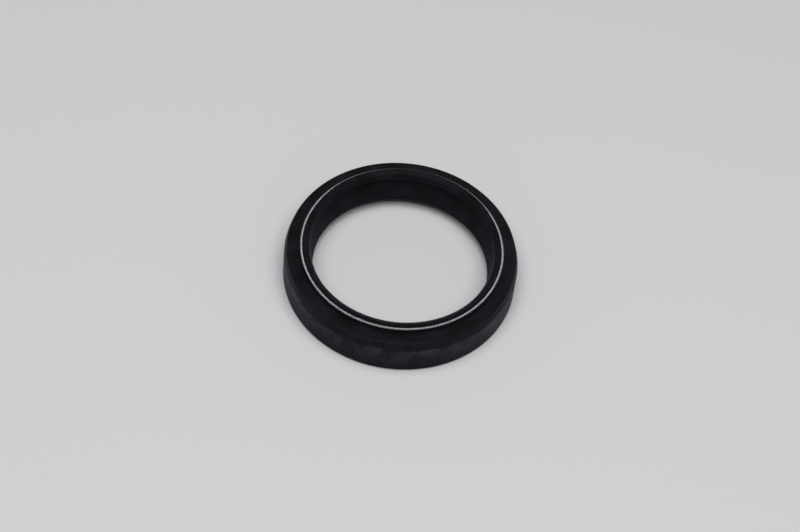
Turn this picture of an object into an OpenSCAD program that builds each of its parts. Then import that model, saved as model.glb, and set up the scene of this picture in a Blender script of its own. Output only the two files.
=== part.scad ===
// Fork seal: one moulded rubber ring with an oil lip and a dust lip, and the two garter springs
// that close the lips on the fork tube. It lies with its oil side down and its dust lip up.
// The origin is on the axis, in the plane that the underside rests on.

/* [Fit] */
// Diameter of the fork tube that the lips run on
tube_d = 45; // [44:0.25:46]
// Bore of the fork leg that the seal is pressed into
housing_d = 57; // [56:0.25:59]
// How much larger than that bore the rubber wall is, on the diameter
wall_press = 0.1; // [0:0.02:0.4]

/* [Body] */
// Height of the crown, where the tapered band meets the shoulder
crown_h = 10; // [9.7:0.05:10.3]
// Height of the straight outer wall, up to the foot of the tapered band
wall_h = 7.7; // [6.5:0.05:8.5]
// How far the crown lies inside the wall, which tapers the band
crown_in = 0.6; // [0.2:0.05:1.2]
// Rounding of the crown
crown_round = 0.45; // [0.1:0.05:0.8]
// Width of the level part of the shoulder, next to the crown
crown_w = 0.9; // [0.5:0.05:1.5]
// How far the shoulder falls from the crown to the root of the dust lip
shoulder_fall = 0.3; // [0.1:0.05:0.6]
// Height of the lead-in at the foot of the wall
lead_in_h = 0.6; // [0.3:0.1:2]
// Depth of the lead-in, from the wall inward
lead_in_w = 0.4; // [0.2:0.05:1]
// Thickness of the outer wall beside the spring channel
shell_t = 2.45; // [2:0.05:2.9]
// Height of the roof of the spring channel above the underside
channel_h = 6.45; // [6:0.05:7]
// Rounding of the channel's two upper corners
channel_round = 0.6; // [0.2:0.05:0.8]

/* [Dust lip] */
// Overall height, from the underside to the crest of the dust lip
overall_h = 12.45; // [12.2:0.05:13]
// How much smaller than the fork tube the dust lip's edge is, on the diameter
dust_bite = 0.7; // [0.3:0.1:1.2]
// Distance of that edge below the crest
dust_edge_drop = 2.2; // [1.8:0.05:2.5]
// Distance from that edge out to the back of the crest
dust_lip_t = 1.81; // [1.6:0.01:2.1]
// Width of the level top of the crest
dust_crest_w = 0.2; // [0.1:0.05:0.3]
// Width of the whole top of the lip, crest and slope
dust_land_w = 1.25; // [1:0.05:1.4]
// How far that slope falls toward the tube
dust_land_fall = 0.85; // [0.4:0.05:1.1]
// Angle of the lip's undersides, inside and outside, from level
dust_under_angle = 38; // [30:1:44]
// Thickness of the neck that carries the lip
dust_neck_t = 0.5; // [0.4:0.05:0.8]

/* [Oil lip] */
// How much smaller than the fork tube the oil lip's edge is, on the diameter
oil_bite = 2; // [1.4:0.1:2.4]
// Height of the oil lip's edge above the underside
oil_edge_h = 3.35; // [3:0.05:3.7]
// Width of the small cylindrical land that the edge has
oil_land_h = 0.3; // [0.2:0.05:0.5]
// Angle of the flank on the oil side, from the axis
oil_side_angle = 32; // [28:0.5:34]
// Angle of the flank on the air side, from the axis
air_side_angle = 21; // [18:0.5:23]
// Clearance of the lip's nose above the underside
nose_lift = 0.3; // [0.2:0.05:0.6]
// Thickness of the nose at its foot
nose_t = 0.8; // [0.6:0.05:1]
// Thickness of the lip at the roof of the channel
oil_neck_t = 1.35; // [1.1:0.05:1.6]

/* [Springs] */
// Coil diameter of the fine spring round the dust lip
dust_coil_d = 0.76; // [0.6:0.02:0.8]
// Distance of that spring's centre line below the crest
dust_coil_drop = 1.15; // [1.05:0.05:1.25]
// How far that centre line stands outside the back of the crest
dust_coil_out = 0.47; // [0.4:0.01:0.5]
// How far the shelf below that spring reaches past its centre line
dust_shelf_out = 0.2; // [0.1:0.05:0.3]
// Thickness of that shelf at its rim
dust_shelf_t = 0.1; // [0.06:0.02:0.2]
// How far the rubber behind that spring reaches above its centre line
dust_cheek_h = 0.35; // [0.25:0.05:0.45]
// Coil diameter of the spring behind the oil lip
oil_coil_d = 1.4; // [1.2:0.05:1.5]
// Rubber between the oil lip's edge and its spring
oil_lip_t = 1.4; // [1.3:0.05:1.6]
// How far that spring sits above the edge, toward the air side
oil_coil_lift = 0.45; // [0.2:0.05:0.6]
// Clearance between each spring and its groove
spring_gap = 0.03; // [0.02:0.01:0.06]

/* [Hidden] */

// Turn of one step along a rounded corner, in degrees
arc_step = 9;
// Share of an edge that the rounding at one of its ends may take
edge_share = 0.48;
fine_round = 0.05;
small_round = 0.15;
soft_round = 0.3;
wide_round = 0.5;
shoulder_round = 3;

tube_r = tube_d / 2;
wall_r = (housing_d + wall_press) / 2;
foot_r = wall_r - lead_in_w;
crown_r = wall_r - crown_in;
channel_r = wall_r - shell_t;
root_z = crown_h - shoulder_fall;

oil_edge_r = tube_r - oil_bite / 2;
oil_land_top = oil_edge_h + oil_land_h / 2;
oil_land_foot = oil_edge_h - oil_land_h / 2;
oil_neck_r = oil_edge_r + (channel_h - oil_land_top) * tan(air_side_angle) + oil_neck_t;
oil_coil_r = oil_edge_r + oil_lip_t + oil_coil_d / 2;
oil_coil_z = oil_edge_h + oil_coil_lift;
nose_r = oil_edge_r + (oil_land_foot - nose_lift) * tan(oil_side_angle);

dust_edge_r = tube_r - dust_bite / 2;
dust_edge_z = overall_h - dust_edge_drop;
dust_rim_r = dust_edge_r + dust_lip_t;
dust_land_r = dust_rim_r - dust_land_w;
dust_land_z = overall_h - dust_land_fall;
dust_coil_r = dust_rim_r + dust_coil_out;
dust_coil_z = overall_h - dust_coil_drop;
dust_shelf_r = dust_coil_r + dust_shelf_out;
dust_shelf_z = dust_coil_z - dust_coil_d / 2 - spring_gap - dust_shelf_t;

// Bottom of the grease hollow, where the oil lip's air side meets the dust lip's underside
air_rise = 1 / tan(air_side_angle);
under_rise = tan(dust_under_angle);
hollow_in = (dust_edge_z - oil_land_top - (dust_edge_r - oil_edge_r) * air_rise) / (air_rise + under_rise);
hollow_r = dust_edge_r + hollow_in;
hollow_z = dust_edge_z - hollow_in * under_rise;
dust_neck_r = hollow_r + dust_neck_t;

function unit(v) = v / norm(v);

// Points that round the corner p, between its neighbours a and b, to the radius r
function corner(a, p, b, r) =
    let (u = unit(a - p))
    let (v = unit(b - p))
    let (half = acos(u * v) / 2)
    let (tangent = min(r / tan(half), edge_share * min(norm(a - p), norm(b - p))))
    let (radius = tangent * tan(half))
    let (centre = p + unit(u + v) * radius / sin(half))
    let (from = p + u * tangent - centre)
    let (to = p + v * tangent - centre)
    let (turn = atan2(from.x * to.y - from.y * to.x, from * to))
    let (start = atan2(from.y, from.x))
    let (steps = ceil(abs(turn) / arc_step))
    [for (i = [0:steps]) centre + radius * [cos(start + turn * i / steps), sin(start + turn * i / steps)]];

// A closed outline from corners of the form [radius from the axis, height, rounding]
function rounded(corners) =
    let (n = len(corners))
    let (p = [for (c = corners) [c[0], c[1]]])
    [for (i = [0:n - 1]) each corner(p[(i + n - 1) % n], p[i], p[(i + 1) % n], corners[i][2])];

// The outer wall with its lead-in, the tapered band, and the shoulder
body_corners = [
    [channel_r, 0, small_round],
    [foot_r, 0, small_round],
    [wall_r, lead_in_h, soft_round],
    [wall_r, wall_h, small_round],
    [crown_r, crown_h, crown_round],
    [crown_r - crown_w, crown_h, shoulder_round],
];
// The dust lip, from its neck over the spring's shelf and the crest to its edge, and the hollow
dust_lip_corners = [
    [dust_neck_r, root_z, wide_round],
    [dust_neck_r, dust_shelf_z - (dust_shelf_r - dust_neck_r) * under_rise, soft_round],
    [dust_shelf_r, dust_shelf_z, small_round],
    [dust_shelf_r, dust_coil_z - small_round, small_round],
    [dust_rim_r, dust_coil_z + dust_cheek_h, fine_round],
    [dust_rim_r, overall_h, small_round],
    [dust_rim_r - dust_crest_w, overall_h, soft_round],
    [dust_land_r, dust_land_z, wide_round],
    [dust_edge_r, dust_edge_z, small_round],
    [hollow_r, hollow_z, wide_round],
];
// The oil lip, from its edge over its nose to its back in the channel
oil_lip_corners = [
    [oil_edge_r, oil_land_top, small_round],
    [oil_edge_r, oil_land_foot, small_round],
    [nose_r, nose_lift, soft_round],
    [nose_r + nose_t, nose_lift, soft_round],
    [oil_neck_r, oil_coil_z - oil_coil_d / 2, small_round],
    [oil_neck_r, channel_h, channel_round],
    [channel_r, channel_h, channel_round],
];

// Section of a garter spring, or of the groove that holds it
module coil_section(r, z, d) {
    translate([r, z])
        circle(d = d, $fn = 48);
}

module seal_body() {
    color([0.07, 0.07, 0.075])
        rotate_extrude($fn = 180)
            difference() {
                polygon(rounded(concat(body_corners, dust_lip_corners, oil_lip_corners)));
                coil_section(dust_coil_r, dust_coil_z, dust_coil_d + 2 * spring_gap);
                coil_section(oil_coil_r, oil_coil_z, oil_coil_d + 2 * spring_gap);
            }
}

// A garter spring as the ring that its coil fills
module garter_spring(r, z, d) {
    color("silver")
        rotate_extrude($fn = 180)
            coil_section(r, z, d);
}

module dust_lip_spring() {
    garter_spring(dust_coil_r, dust_coil_z, dust_coil_d);
}

module oil_lip_spring() {
    garter_spring(oil_coil_r, oil_coil_z, oil_coil_d);
}

seal_body();
dust_lip_spring();
oil_lip_spring();
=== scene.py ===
"""A fork seal: a black rubber ring with two sprung lips, lying on a pale floor with its dust lip up."""

import math

import bpy
from mathutils import Matrix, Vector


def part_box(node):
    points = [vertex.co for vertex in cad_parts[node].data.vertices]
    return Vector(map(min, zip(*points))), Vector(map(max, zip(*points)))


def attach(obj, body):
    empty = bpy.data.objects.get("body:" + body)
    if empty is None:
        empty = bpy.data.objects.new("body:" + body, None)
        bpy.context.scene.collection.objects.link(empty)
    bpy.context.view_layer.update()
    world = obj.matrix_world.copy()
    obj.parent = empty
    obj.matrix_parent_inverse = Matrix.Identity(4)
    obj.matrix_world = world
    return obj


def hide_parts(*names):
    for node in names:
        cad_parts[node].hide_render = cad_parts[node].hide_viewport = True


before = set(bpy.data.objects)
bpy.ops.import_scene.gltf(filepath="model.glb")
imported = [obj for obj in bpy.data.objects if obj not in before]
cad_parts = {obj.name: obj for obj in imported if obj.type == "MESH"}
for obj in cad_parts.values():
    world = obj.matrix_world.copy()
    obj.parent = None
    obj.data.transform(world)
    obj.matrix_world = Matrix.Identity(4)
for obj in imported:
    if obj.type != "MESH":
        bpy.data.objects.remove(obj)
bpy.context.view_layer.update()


# Seal body: one ring of nitrile rubber, pressed in a turned steel mould and cured in it.
# Its outer wall left an etched face of the mould, rough enough to grip the bore. The band
# above it, the shoulder and both lips left turned faces, and are smoother.

# Sizes are in millimetres, and this turns them to Blender's metres
MM = 0.001
# The straight wall ends at this height, and its finish gives way to the band's within
# this much of it
WALL_TOP = 7.7
WALL_EDGE = 0.06
# The etched finish reaches this far in from the outside, which takes in the wall's foot
WALL_DEPTH = 2.25

RUBBER = "#111111"
RUBBER_BLOOM = "#1E1C23"
WALL_RUBBER = "#100F12"
# The next grey is partly real scuffing of the wall and partly painted sheen
SCUFF_AND_SHEEN_GREY = "#38353E"
DUST = "#8C8780"

# The real grain is about 0.03 mm and would not show, so it is drawn four times as coarse,
# and still coarser on the etched wall
GRAIN = 0.12
WALL_GRAIN = 0.2
GRAIN_DEPTH = 0.03
GRAIN_STRENGTH = 0.35
# Bloom, and the scuffs with their painted sheen, are weaker in the pits of the grain and stronger on
# its peaks
PIT_LEVEL, PEAK_LEVEL = 0.4, 0.6
PIT_FACTOR, PEAK_FACTOR = 0.5, 1.5
# The tool marks are really about 0.08 mm apart, and are drawn wider for the same reason
TURNING_PITCH = 0.22
TURNING_DEPTH = 0.02
TURNING_STRENGTH = 0.06
UNEVEN_SPREAD = 3.0
UNEVEN_DEPTH = 0.05
UNEVEN_STRENGTH = 0.5

BLOOM_SPREAD = 6.0
BLOOM_FROM, BLOOM_TO = 0.35, 0.7
SCUFF_AND_SHEEN_SPREAD = 4.5
SCUFF_AND_SHEEN_FROM, SCUFF_AND_SHEEN_TO = 0.38, 0.62
SCUFF_AND_SHEEN_SEED = 13.2
# Down the wall the scuffs and their painted sheen fade, to this share at this height
SCUFF_AND_SHEEN_FOOT = 2.0
SCUFF_AND_SHEEN_FOOT_SHARE = 0.1
# Their upper edge wanders this far above and below the top of the wall, and is itself
# blurred from a little below its line to a little above it
SCUFF_AND_SHEEN_RAG = 1.6
RAG_BELOW, RAG_ABOVE = 0.15, 0.35
SPECK_SPACING = 1.9
# One cell in five holds a speck
SPECK_SHARE = 0.2
SPECK_RADIUS = 0.07
# Its full colour covers this share of its radius, and fades beyond
SPECK_CORE = 0.6

CLEAN_ROUGHNESS = 0.44
BLOOMED_ROUGHNESS = 0.53
RUBBER_IOR = 1.52
RUBBER_SPECULAR = 0.046
# The film of wax scatters a little violet light where it is seen at a grazing angle
BLOOM_SHEEN = 0.024
SHEEN_ROUGHNESS = 0.5
SHEEN_TINT = "#B3A6FF"

# A Mix node has sockets of the same name for each kind of value, so each goes by its number
FACTOR = 0
NUMBER_A, NUMBER_B, MIXED_NUMBER = 2, 3, 0
COLOUR_A, COLOUR_B, MIXED_COLOUR = 6, 7, 2
# A Wave texture of scale 1 repeats after this length
WAVE_LENGTH = math.pi / 10


def linear(hex_colour):
    """An sRGB colour such as #17161A as the linear RGBA that a shader takes."""
    parts = [int(hex_colour[i:i + 2], 16) / 255 for i in (1, 3, 5)]
    return [c / 12.92 if c <= 0.04045 else ((c + 0.055) / 1.055) ** 2.4 for c in parts] + [1]


def add(tree, kind, settings=None, inputs=None):
    """A new node. Each input takes a value, or the output socket that it is linked to."""
    node = tree.nodes.new(kind)
    for name, value in (settings or {}).items():
        setattr(node, name, value)
    for key, value in (inputs or {}).items():
        if isinstance(value, bpy.types.NodeSocket):
            tree.links.new(value, node.inputs[key])
        else:
            node.inputs[key].default_value = value
    return node


def blank_material(name):
    """A material whose tree holds only its output node."""
    material = bpy.data.materials.new(name)
    material.use_nodes = True
    tree = material.node_tree
    tree.nodes.clear()
    return material, tree, add(tree, "ShaderNodeOutputMaterial")


def per_metre(size_mm):
    """The scale at which a pattern on Object coordinates has features of that size."""
    return 1 / (size_mm * MM)


# Moulded nitrile rubber: near black with a faint violet cast. It gives a soft, wide sheen
# with no sharp highlight, a cloudy bloom, faint turning rings, and a few specks of dust.
rubber, tree, out = blank_material("moulded nitrile rubber")
wall_inner_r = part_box("seal_body")[1].x - WALL_DEPTH * MM
place = add(tree, "ShaderNodeTexCoord").outputs["Object"]
height = add(tree, "ShaderNodeSeparateXYZ", inputs={0: place}).outputs["Z"]
flat_place = add(tree, "ShaderNodeVectorMath", {"operation": "MULTIPLY"}, {0: place, 1: (1, 1, 0)})
radius = add(tree, "ShaderNodeVectorMath", {"operation": "LENGTH"}, {0: flat_place.outputs[0]})
below_band = add(tree, "ShaderNodeMapRange", inputs={
    "Value": height,
    "From Min": (WALL_TOP + WALL_EDGE) * MM, "From Max": (WALL_TOP - WALL_EDGE) * MM})
outside = add(tree, "ShaderNodeMapRange", inputs={
    "Value": radius.outputs["Value"],
    "From Min": wall_inner_r, "From Max": wall_inner_r + WALL_EDGE * MM})
on_wall = add(tree, "ShaderNodeMath", {"operation": "MULTIPLY"},
              {0: below_band.outputs[0], 1: outside.outputs[0]}).outputs[0]

# Skin: the grain that the mould's face left, fine all over and coarser on the wall
grain = add(tree, "ShaderNodeTexNoise", inputs={
    "Vector": place, "Scale": per_metre(GRAIN), "Detail": 2, "Roughness": 0.6})
wall_grain = add(tree, "ShaderNodeTexNoise", inputs={
    "Vector": place, "Scale": per_metre(WALL_GRAIN), "Detail": 4, "Roughness": 0.7})
skin = add(tree, "ShaderNodeMix", {"data_type": "FLOAT"}, {
    FACTOR: on_wall, NUMBER_A: grain.outputs["Fac"], NUMBER_B: wall_grain.outputs["Fac"]})
peaks = add(tree, "ShaderNodeMapRange", inputs={
    "Value": skin.outputs[MIXED_NUMBER], "From Min": PIT_LEVEL, "From Max": PEAK_LEVEL,
    "To Min": PIT_FACTOR, "To Max": PEAK_FACTOR})

# Bloom: wax that has come to the surface in pale violet clouds, and thickest on the peaks
bloom = add(tree, "ShaderNodeTexNoise", inputs={
    "Vector": place, "Scale": per_metre(BLOOM_SPREAD), "Detail": 4, "Roughness": 0.6})
cloud = add(tree, "ShaderNodeMapRange", inputs={
    "Value": bloom.outputs["Fac"], "From Min": BLOOM_FROM, "From Max": BLOOM_TO})
powder = add(tree, "ShaderNodeMath", {"operation": "MULTIPLY"},
             {0: cloud.outputs[0], 1: peaks.outputs[0]})
clouded = add(tree, "ShaderNodeMix", {"data_type": "RGBA"}, {
    FACTOR: powder.outputs[0], COLOUR_A: linear(RUBBER), COLOUR_B: linear(RUBBER_BLOOM)})
bare = add(tree, "ShaderNodeMix", {"data_type": "RGBA"}, {
    FACTOR: on_wall, COLOUR_A: clouded.outputs[MIXED_COLOUR], COLOUR_B: linear(WALL_RUBBER)})

# Scuffs and painted sheen: the wall's rough skin is greyed in patches, most on its peaks.
# The grey is partly real scuffing and partly a painted sheen, standing in for the light that
# the wall's sides catch at a grazing angle. They thicken toward the top of the wall and stop
# there in a ragged line, where the height less twice the rag times the noise comes to the top
# of the wall less the rag.
scuff_and_sheen_noise = add(tree, "ShaderNodeTexNoise", {"noise_dimensions": "4D"}, {
    "Vector": place, "W": SCUFF_AND_SHEEN_SEED, "Scale": per_metre(SCUFF_AND_SHEEN_SPREAD), "Detail": 5,
    "Roughness": 0.6})
scuff_and_sheen_patches = add(tree, "ShaderNodeMapRange", inputs={
    "Value": scuff_and_sheen_noise.outputs["Fac"], "From Min": SCUFF_AND_SHEEN_FROM, "From Max": SCUFF_AND_SHEEN_TO})
up_wall = add(tree, "ShaderNodeMapRange", inputs={
    "Value": height, "From Min": SCUFF_AND_SHEEN_FOOT * MM, "From Max": WALL_TOP * MM,
    "To Min": SCUFF_AND_SHEEN_FOOT_SHARE})
ragged = add(tree, "ShaderNodeMath", {"operation": "MULTIPLY_ADD"}, {
    0: scuff_and_sheen_noise.outputs["Fac"], 1: -2 * SCUFF_AND_SHEEN_RAG * MM, 2: height})
rag_line = WALL_TOP - SCUFF_AND_SHEEN_RAG
below_rag = add(tree, "ShaderNodeMapRange", inputs={
    "Value": ragged.outputs[0],
    "From Min": (rag_line + RAG_ABOVE) * MM, "From Max": (rag_line - RAG_BELOW) * MM})
scuffs_and_sheen = scuff_and_sheen_patches.outputs[0]
for limit in (up_wall, below_rag, outside, peaks):
    scuffs_and_sheen = add(tree, "ShaderNodeMath", {"operation": "MULTIPLY"},
                 {0: scuffs_and_sheen, 1: limit.outputs[0]}).outputs[0]
# Mixes in the grey patches, which are partly scuffs and partly painted sheen
scuffed_and_sheened = add(tree, "ShaderNodeMix", {"data_type": "RGBA"}, {
    FACTOR: scuffs_and_sheen, COLOUR_A: bare.outputs[MIXED_COLOUR], COLOUR_B: linear(SCUFF_AND_SHEEN_GREY)})

# Specks: single grains of pale dust
cells = add(tree, "ShaderNodeTexVoronoi", {"feature": "F1"}, {
    "Vector": place, "Scale": per_metre(SPECK_SPACING), "Randomness": 1})
speck_reach = SPECK_RADIUS / SPECK_SPACING
grit = add(tree, "ShaderNodeMapRange", inputs={
    "Value": cells.outputs["Distance"],
    "From Min": speck_reach, "From Max": SPECK_CORE * speck_reach})
cell_tone = add(tree, "ShaderNodeSeparateColor", inputs={0: cells.outputs["Color"]})
chosen = add(tree, "ShaderNodeMath", {"operation": "LESS_THAN"},
             {0: cell_tone.outputs[0], 1: SPECK_SHARE})
specks = add(tree, "ShaderNodeMath", {"operation": "MULTIPLY"},
             {0: grit.outputs[0], 1: chosen.outputs[0]})
colour = add(tree, "ShaderNodeMix", {"data_type": "RGBA"}, {
    FACTOR: specks.outputs[0], COLOUR_A: scuffed_and_sheened.outputs[MIXED_COLOUR], COLOUR_B: linear(DUST)})

# Relief: the moulding is slightly uneven, under the rings of the turned mould and the grain
unevenness = add(tree, "ShaderNodeTexNoise", inputs={
    "Vector": place, "Scale": per_metre(UNEVEN_SPREAD), "Detail": 2, "Roughness": 0.5})
uneven = add(tree, "ShaderNodeBump", inputs={
    "Strength": UNEVEN_STRENGTH, "Distance": UNEVEN_DEPTH * MM,
    "Height": unevenness.outputs["Fac"]})
rings = add(tree, "ShaderNodeTexWave", {"wave_type": "RINGS", "rings_direction": "Z"}, {
    "Vector": place, "Scale": WAVE_LENGTH * per_metre(TURNING_PITCH), "Distortion": 0.4,
    "Detail": 1})
turned = add(tree, "ShaderNodeBump", inputs={
    "Strength": TURNING_STRENGTH, "Distance": TURNING_DEPTH * MM,
    "Height": rings.outputs["Fac"], "Normal": uneven.outputs["Normal"]})
relief = add(tree, "ShaderNodeBump", inputs={
    "Strength": GRAIN_STRENGTH, "Distance": GRAIN_DEPTH * MM,
    "Height": skin.outputs[MIXED_NUMBER], "Normal": turned.outputs["Normal"]})
dullness = add(tree, "ShaderNodeMapRange", inputs={
    "Value": cloud.outputs[0], "To Min": CLEAN_ROUGHNESS, "To Max": BLOOMED_ROUGHNESS})
shader = add(tree, "ShaderNodeBsdfPrincipled", inputs={
    "Base Color": colour.outputs[MIXED_COLOUR], "Roughness": dullness.outputs[0],
    "IOR": RUBBER_IOR, "Specular IOR Level": RUBBER_SPECULAR, "Sheen Weight": BLOOM_SHEEN,
    "Sheen Roughness": SHEEN_ROUGHNESS, "Sheen Tint": linear(SHEEN_TINT),
    "Normal": relief.outputs["Normal"]})
tree.links.new(shader.outputs[0], out.inputs["Surface"])

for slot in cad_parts["seal_body"].material_slots:
    slot.material = rubber


# Dust lip spring: a garter spring, close-wound from bright steel wire and joined into a
# ring. It is sprung over the back of the dust lip into an open seat, and shows all round.

DUST_WIRE = 0.17
DUST_PITCH = 0.185
SPRING_STEEL = "#CBCCCD"
STEEL_TARNISH = "#B0B1B4"
TARNISH_SPREAD = 3.0
DRAWN_ROUGHNESS = 0.3
TARNISHED_ROUGHNESS = 0.42
# The die leaves scratches of a few thousandths, drawn here as a coarser pitting
DIE_MARKS = 0.03
DIE_DEPTH = 0.001
DIE_STRENGTH = 0.5
# Points along one turn and round its wire, with the last of each on the first of the next.
# Twelve steps a turn put a point at the top, bottom, inside and outside of the coil.
TURN_POINTS = 13
WIRE_POINTS = 6
# Ends of the turns that meet within this distance are one
WELD = 0.002

# Drawn spring steel: a bright, neutral grey metal. Each turn of the coil catches the
# light as a short streak, and thin oxide dulls it here and there.
steel, tree, out = blank_material("drawn spring steel")
place = add(tree, "ShaderNodeTexCoord").outputs["Object"]
oxide = add(tree, "ShaderNodeTexNoise", inputs={
    "Vector": place, "Scale": per_metre(TARNISH_SPREAD), "Detail": 5, "Roughness": 0.65})
tone = add(tree, "ShaderNodeMix", {"data_type": "RGBA"}, {
    FACTOR: oxide.outputs["Fac"], COLOUR_A: linear(SPRING_STEEL), COLOUR_B: linear(STEEL_TARNISH)})
dullness = add(tree, "ShaderNodeMapRange", inputs={
    "Value": oxide.outputs["Fac"], "To Min": DRAWN_ROUGHNESS, "To Max": TARNISHED_ROUGHNESS})
marks = add(tree, "ShaderNodeTexNoise", inputs={
    "Vector": place, "Scale": per_metre(DIE_MARKS), "Detail": 2})
drawn = add(tree, "ShaderNodeBump", inputs={
    "Strength": DIE_STRENGTH, "Distance": DIE_DEPTH * MM, "Height": marks.outputs["Fac"]})
shader = add(tree, "ShaderNodeBsdfPrincipled", inputs={
    "Base Color": tone.outputs[MIXED_COLOUR], "Metallic": 1, "Roughness": dullness.outputs[0],
    "Normal": drawn.outputs["Normal"]})
tree.links.new(shader.outputs[0], out.inputs["Surface"])


def garter_spring_nodes():
    """Geometry nodes that wind a closed garter spring about the Z axis.

    One turn of wire starts as a flat sheet, as long as its share of the ring and as wide as
    the way round the wire, both in radians. It is rolled into the wire, wound round the coil
    and bent to the ring. Every other turn is a copy of it, turned about the axis.
    """
    tree = bpy.data.node_groups.new("garter spring", "GeometryNodeTree")
    face = tree.interface
    face.new_socket("Geometry", in_out="OUTPUT", socket_type="NodeSocketGeometry")
    for name in ("Ring radius", "Height", "Coil radius", "Wire radius"):
        face.new_socket(name, in_out="INPUT", socket_type="NodeSocketFloat")
    for name in ("Turns", "Points along a turn", "Points round the wire"):
        face.new_socket(name, in_out="INPUT", socket_type="NodeSocketInt")
    face.new_socket("Metal", in_out="INPUT", socket_type="NodeSocketMaterial")
    given = add(tree, "NodeGroupInput").outputs

    # The sheet, and how far along the turn each of its points is
    share = add(tree, "ShaderNodeMath", {"operation": "DIVIDE"},
                {0: math.tau, 1: given["Turns"]}).outputs[0]
    sheet = add(tree, "GeometryNodeMeshGrid", inputs={
        "Size X": share, "Size Y": math.tau,
        "Vertices X": given["Points along a turn"], "Vertices Y": given["Points round the wire"]})
    position = add(tree, "GeometryNodeInputPosition").outputs[0]
    sheet_place = add(tree, "ShaderNodeSeparateXYZ", inputs={0: position}).outputs
    winding = add(tree, "ShaderNodeMath", {"operation": "MULTIPLY"},
                  {0: sheet_place["X"], 1: given["Turns"]}).outputs[0]

    # Each point goes round the wire, then round the coil, then round the ring
    wire_arm = add(tree, "ShaderNodeCombineXYZ", inputs={"X": given["Wire radius"]})
    rolled = add(tree, "ShaderNodeVectorRotate", {"rotation_type": "Z_AXIS"},
                 {"Vector": wire_arm.outputs[0], "Angle": sheet_place["Y"]})
    coil_arm = add(tree, "ShaderNodeCombineXYZ", inputs={"X": given["Coil radius"]})
    off_coil = add(tree, "ShaderNodeVectorMath", {"operation": "SUBTRACT"},
                   {0: coil_arm.outputs[0], 1: rolled.outputs[0]})
    wound = add(tree, "ShaderNodeVectorRotate", {"rotation_type": "Y_AXIS"},
                {"Vector": off_coil.outputs[0], "Angle": winding})
    ring_arm = add(tree, "ShaderNodeCombineXYZ", inputs={
        "X": given["Ring radius"], "Z": given["Height"]})
    off_ring = add(tree, "ShaderNodeVectorMath", {"operation": "ADD"},
                   {0: wound.outputs[0], 1: ring_arm.outputs[0]})
    bent = add(tree, "ShaderNodeVectorRotate", {"rotation_type": "Z_AXIS"},
               {"Vector": off_ring.outputs[0], "Angle": sheet_place["X"]})
    one_turn = add(tree, "GeometryNodeSetPosition", inputs={
        "Geometry": sheet.outputs["Mesh"], "Position": bent.outputs[0]})

    # The copies, joined end to end into one closed wire
    order = add(tree, "GeometryNodeInputIndex").outputs[0]
    heading = add(tree, "ShaderNodeMath", {"operation": "MULTIPLY"}, {0: order, 1: share})
    rotation = add(tree, "ShaderNodeCombineXYZ", inputs={"Z": heading.outputs[0]})
    at_axis = add(tree, "GeometryNodePoints", inputs={"Count": given["Turns"]})
    copies = add(tree, "GeometryNodeInstanceOnPoints", inputs={
        "Points": at_axis.outputs[0], "Instance": one_turn.outputs[0],
        "Rotation": rotation.outputs[0]})
    whole = add(tree, "GeometryNodeRealizeInstances", inputs={0: copies.outputs[0]})
    joined = add(tree, "GeometryNodeMergeByDistance", inputs={
        "Geometry": whole.outputs[0], "Distance": WELD * MM})
    smooth = add(tree, "GeometryNodeSetShadeSmooth", inputs={0: joined.outputs[0]})
    finished = add(tree, "GeometryNodeSetMaterial", inputs={
        "Geometry": smooth.outputs[0], "Material": given["Metal"]})
    add(tree, "NodeGroupOutput", inputs={0: finished.outputs[0]})
    return tree


spring_nodes = garter_spring_nodes()


def garter_spring(name, node, wire_mm, pitch_mm):
    """A spring that fills the ring the frame gives it, as a plain mesh that replaces that node."""
    low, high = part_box(node)
    coil_r = (high.z - low.z) / 2
    ring_r = high.x - coil_r
    wire_r = wire_mm * MM / 2
    values = {
        "Ring radius": ring_r, "Height": (low.z + high.z) / 2,
        "Coil radius": coil_r - wire_r, "Wire radius": wire_r,
        "Turns": round(math.tau * ring_r / (pitch_mm * MM)),
        "Points along a turn": TURN_POINTS, "Points round the wire": WIRE_POINTS, "Metal": steel}
    carrier = bpy.data.objects.new(name + "_nodes", bpy.data.meshes.new(name + "_nodes"))
    bpy.context.collection.objects.link(carrier)
    modifier = carrier.modifiers.new("wind", "NODES")
    modifier.node_group = spring_nodes
    for socket in spring_nodes.interface.items_tree:
        if socket.in_out == "INPUT":
            modifier[socket.identifier] = values[socket.name]
    evaluated = carrier.evaluated_get(bpy.context.evaluated_depsgraph_get())
    mesh = bpy.data.meshes.new_from_object(evaluated)
    bpy.data.objects.remove(carrier)
    mesh.name = name
    spring = bpy.data.objects.new(name, mesh)
    bpy.context.collection.objects.link(spring)
    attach(spring, "root")
    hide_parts(node)


garter_spring("dust_lip_coil", "dust_lip_spring", DUST_WIRE, DUST_PITCH)


# Oil lip spring: a stouter garter spring in the channel underneath, snapped into the
# groove behind the oil lip, where it holds that lip's edge against the tube.

OIL_WIRE = 0.3
OIL_PITCH = 0.32

garter_spring("oil_lip_coil", "oil_lip_spring", OIL_WIRE, OIL_PITCH)


# Floor: a wide sheet of white card, which the seal lies on. It reaches far past the view,
# so that no edge of it shows from any side.

FLOOR = "#D3D4D5"
FLOOR_REACH = 3000
CARD_ROUGHNESS = 0.8
CARD_SPECULAR = 0.1
CARD_FIBRE = 0.6
FIBRE_DEPTH = 0.02
FIBRE_STRENGTH = 0.04

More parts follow.
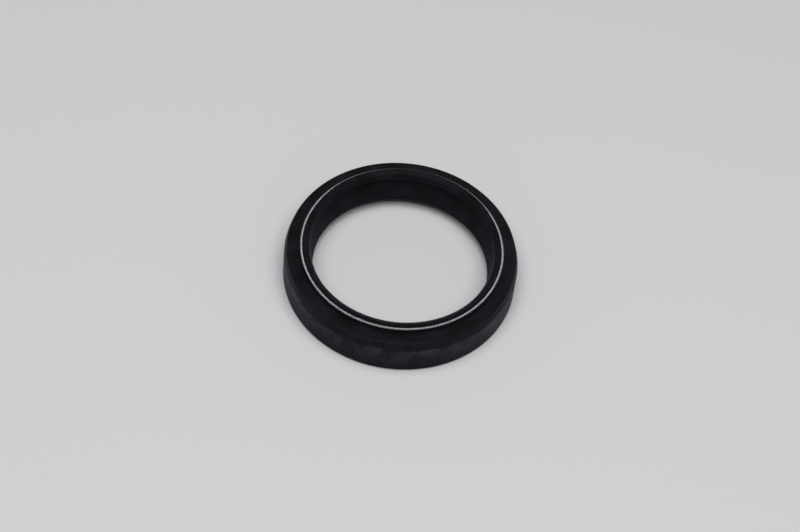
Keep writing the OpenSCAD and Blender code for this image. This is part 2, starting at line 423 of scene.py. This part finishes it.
# White card: an even, matt white with a fine felt of fibres that is barely seen.
card, tree, out = blank_material("matt white card")
place = add(tree, "ShaderNodeTexCoord").outputs["Object"]
fibre = add(tree, "ShaderNodeTexNoise", inputs={
    "Vector": place, "Scale": per_metre(CARD_FIBRE), "Detail": 3})
pressed = add(tree, "ShaderNodeBump", inputs={
    "Strength": FIBRE_STRENGTH, "Distance": FIBRE_DEPTH * MM, "Height": fibre.outputs["Fac"]})
shader = add(tree, "ShaderNodeBsdfPrincipled", inputs={
    "Base Color": linear(FLOOR), "Roughness": CARD_ROUGHNESS,
    "Specular IOR Level": CARD_SPECULAR, "Normal": pressed.outputs["Normal"]})
tree.links.new(shader.outputs[0], out.inputs["Surface"])

reach = FLOOR_REACH * MM
floor_mesh = bpy.data.meshes.new("floor")
floor_mesh.from_pydata(
    [(-reach, -reach, 0), (reach, -reach, 0), (reach, reach, 0), (-reach, reach, 0)],
    [], [(0, 1, 2, 3)])
floor_mesh.materials.append(card)
floor = bpy.data.objects.new("floor", floor_mesh)
bpy.context.collection.objects.link(floor)


# Light: one wide soft box above, a little toward the camera, and a room that is pale near
# the horizon and dim overhead, so that steep faces of the rubber show and level ones stay dark.

SOFT_BOX_PLACE = (15, -220, 950)
SOFT_BOX_WIDTH = 1000
SOFT_BOX_WATTS = 9.9
WALL_LIGHT = 0.5
CEILING_LIGHT = 0.04
# The sine of the angle above the horizon at which the room is as dim as its ceiling
CEILING_FROM = 0.75

room = bpy.data.worlds.new("room")
room.use_nodes = True
tree = room.node_tree
tree.nodes.clear()
direction = add(tree, "ShaderNodeTexCoord").outputs["Generated"]
rise = add(tree, "ShaderNodeSeparateXYZ", inputs={0: direction}).outputs["Z"]
strength = add(tree, "ShaderNodeMapRange", inputs={
    "Value": rise, "From Max": CEILING_FROM, "To Min": WALL_LIGHT, "To Max": CEILING_LIGHT})
glow = add(tree, "ShaderNodeBackground", inputs={
    "Color": (1, 1, 1, 1), "Strength": strength.outputs[0]})
add(tree, "ShaderNodeOutputWorld", inputs={"Surface": glow.outputs[0]})
bpy.context.scene.world = room

lamp = bpy.data.lights.new("soft_box", "AREA")
lamp.shape = "DISK"
lamp.size = SOFT_BOX_WIDTH * MM
lamp.energy = SOFT_BOX_WATTS
soft_box = bpy.data.objects.new("soft_box", lamp)
soft_box.location = [v * MM for v in SOFT_BOX_PLACE]
soft_box.rotation_euler = soft_box.location.to_track_quat("Z", "Y").to_euler()
bpy.context.collection.objects.link(soft_box)
bpy.context.scene.view_settings.view_transform = "Standard"


# Camera: a long lens, looking down on the seal at a little over 50 degrees, and rolled
# slightly, as the photograph was taken.

CAMERA_PLACE = (0.0, -329.27, 431.18)
CAMERA_TILT = 37.613
CAMERA_ROLL = 6.826
CAMERA_LENS = 99
CAMERA_SENSOR = 36

lens = bpy.data.cameras.new("camera")
lens.sensor_width = CAMERA_SENSOR
lens.lens = CAMERA_LENS
camera = bpy.data.objects.new("camera", lens)
camera.matrix_world = (
    Matrix.Translation([v * MM for v in CAMERA_PLACE])
    @ Matrix.Rotation(math.radians(CAMERA_TILT), 4, "X")
    @ Matrix.Rotation(math.radians(CAMERA_ROLL), 4, "Z"))
bpy.context.collection.objects.link(camera)
bpy.context.scene.camera = camera
